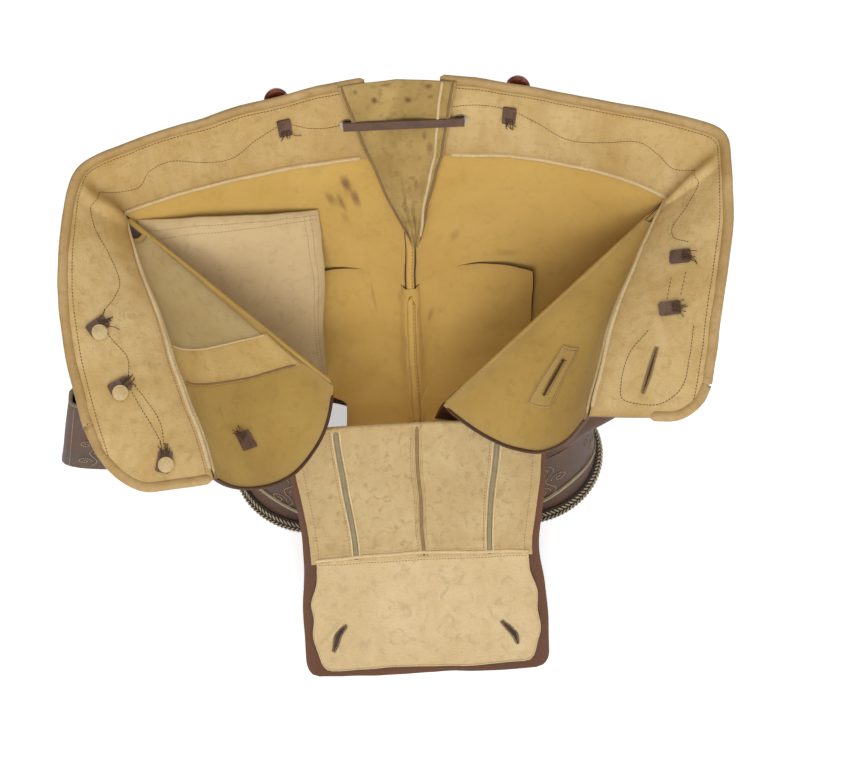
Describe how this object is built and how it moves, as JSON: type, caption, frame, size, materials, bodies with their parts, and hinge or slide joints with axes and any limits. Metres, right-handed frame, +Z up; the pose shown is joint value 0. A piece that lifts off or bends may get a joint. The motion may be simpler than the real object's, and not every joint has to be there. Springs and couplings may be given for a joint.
{
  "type": "leather breeches",
  "caption": "Short leather breeches with a drop front, unbuttoned and standing on their legs, the waist spread open and the front flap hanging forward.",
  "frame": {"origin": "centre of the whole box on the floor, the plane both hems stand on", "axes": "+Z up, -Y to the front where the flap hangs, +X to the side of the two-button wing"},
  "size_m": [0.5664, 0.3755, 0.3492],
  "materials": {
    "horn": "polished horn",
    "eyelet_metal": "worn steel",
    "lace_leather": "dark flat lace",
    "patch_leather": "dark brown leather",
    "braid": "woven herringbone braid",
    "outer_leather": "matt dark brown leather",
    "suede": "golden suede, stained",
    "binding": "rolled tan leather",
    "pocket_cloth": "pale linen",
    "lining_leather": "cream leather with a slight shine"
  },
  "bodies": {
    "root": {"back_band_lining_left": "lining_leather", "back_band_lining_right": "lining_leather", "back_band_outer_left": "outer_leather", "back_band_outer_right": "outer_leather", "back_binding_left": "binding", "back_binding_right": "binding", "back_gusset": "suede", "back_lace": "lace_leather", "crotch_gusset": "suede", "eyelet_left": "eyelet_metal", "eyelet_right": "eyelet_metal", "flap_fold": "outer_leather", "front_fold_left": "binding", "front_fold_right": "binding", "front_left": "outer_leather", "front_right": "outer_leather", "front_rise": "outer_leather", "hem_braid_left": "braid", "hem_braid_right": "braid", "hip_left": "suede", "hip_right": "suede", "knife_sheath": "outer_leather", "leg_left": "outer_leather", "leg_right": "outer_leather", "patch_back_left": "patch_leather", "patch_back_right": "patch_leather", "pocket_bag": "pocket_cloth", "seat_left": "suede", "seat_right": "suede", "seat_seam": "suede"},
    "front_flap": {"flap_facing": "lining_leather", "flap_lining": "lining_leather", "flap_outer": "outer_leather"},
    "left_wing": {"patch_underlap_left": "patch_leather", "patch_wing_left_a": "patch_leather", "patch_wing_left_b": "patch_leather", "patch_wing_left_c": "patch_leather", "underlap_left": "suede", "wing_band_lining_left": "lining_leather", "wing_band_outer_left": "outer_leather", "wing_binding_left": "binding"},
    "right_wing": {"patch_underlap_right": "patch_leather", "patch_wing_right_a": "patch_leather", "patch_wing_right_b": "patch_leather", "underlap_right": "suede", "wing_band_lining_right": "lining_leather", "wing_band_outer_right": "outer_leather", "wing_binding_right": "binding"},
    "button_back_left": {"button_back_left": "horn"},
    "button_back_right": {"button_back_right": "horn"},
    "button_underlap_left": {"button_underlap_left": "horn"},
    "button_wing_left_a": {"button_wing_left_a": "horn"},
    "button_wing_left_b": {"button_wing_left_b": "horn"},
    "button_wing_left_c": {"button_wing_left_c": "horn"},
    "button_wing_right_a": {"button_wing_right_a": "horn"},
    "button_wing_right_b": {"button_wing_right_b": "horn"}
  },
  "joints": [
    {"name": "flap_hinge", "type": "hinge", "parent": "root", "child": "front_flap", "pos_m": [0.03015, -0.0192, 0.145], "axis": [-1, 0, 0], "range_deg": [0, 16]},
    {"name": "right_wing_hinge", "type": "hinge", "parent": "root", "child": "right_wing", "pos_m": [0.24215, 0.1128, 0.27], "axis": [-0.7499, -0.4776, -0.4578], "range_deg": [-9, 7]},
    {"name": "left_wing_hinge", "type": "hinge", "parent": "root", "child": "left_wing", "pos_m": [-0.20185, 0.1208, 0.27], "axis": [-0.7302, 0.4764, 0.4898], "range_deg": [-7, 7]},
    {"name": "button_back_left_turn", "type": "hinge", "parent": "root", "child": "button_back_left", "pos_m": [-0.06847, 0.17182, 0.339], "axis": [-0.2228, 0.959, -0.1749], "range_deg": [-35, 35]},
    {"name": "button_back_right_turn", "type": "hinge", "parent": "root", "child": "button_back_right", "pos_m": [0.12048, 0.17381, 0.33919], "axis": [0.2112, 0.9586, -0.1908], "range_deg": [-35, 35]},
    {"name": "button_underlap_left_turn", "type": "hinge", "parent": "left_wing", "child": "button_underlap_left", "pos_m": [-0.10952, -0.05121, 0.19251], "axis": [-0.6107, 0.0451, -0.7905], "range_deg": [-35, 35]},
    {"name": "button_wing_left_a_turn", "type": "hinge", "parent": "left_wing", "child": "button_wing_left_a", "pos_m": [-0.21553, 0.01325, 0.274], "axis": [-0.3844, 0.301, -0.8727], "range_deg": [-35, 35]},
    {"name": "button_wing_left_b_turn", "type": "hinge", "parent": "left_wing", "child": "button_wing_left_b", "pos_m": [-0.19916, -0.02988, 0.25378], "axis": [-0.2327, 0.3157, -0.9199], "range_deg": [-35, 35]},
    {"name": "button_wing_left_c_turn", "type": "hinge", "parent": "left_wing", "child": "button_wing_left_c", "pos_m": [-0.16602, -0.08422, 0.22979], "axis": [-0.0643, 0.3335, -0.9405], "range_deg": [-35, 35]},
    {"name": "button_wing_right_a_turn", "type": "hinge", "parent": "right_wing", "child": "button_wing_right_a", "pos_m": [0.24358, 0.04811, 0.28214], "axis": [0.4694, 0.1763, -0.8652], "range_deg": [-35, 35]},
    {"name": "button_wing_right_b_turn", "type": "hinge", "parent": "right_wing", "child": "button_wing_right_b", "pos_m": [0.2319, 0.01015, 0.26801], "axis": [0.2953, 0.2534, -0.9212], "range_deg": [-35, 35]}
  ]
}
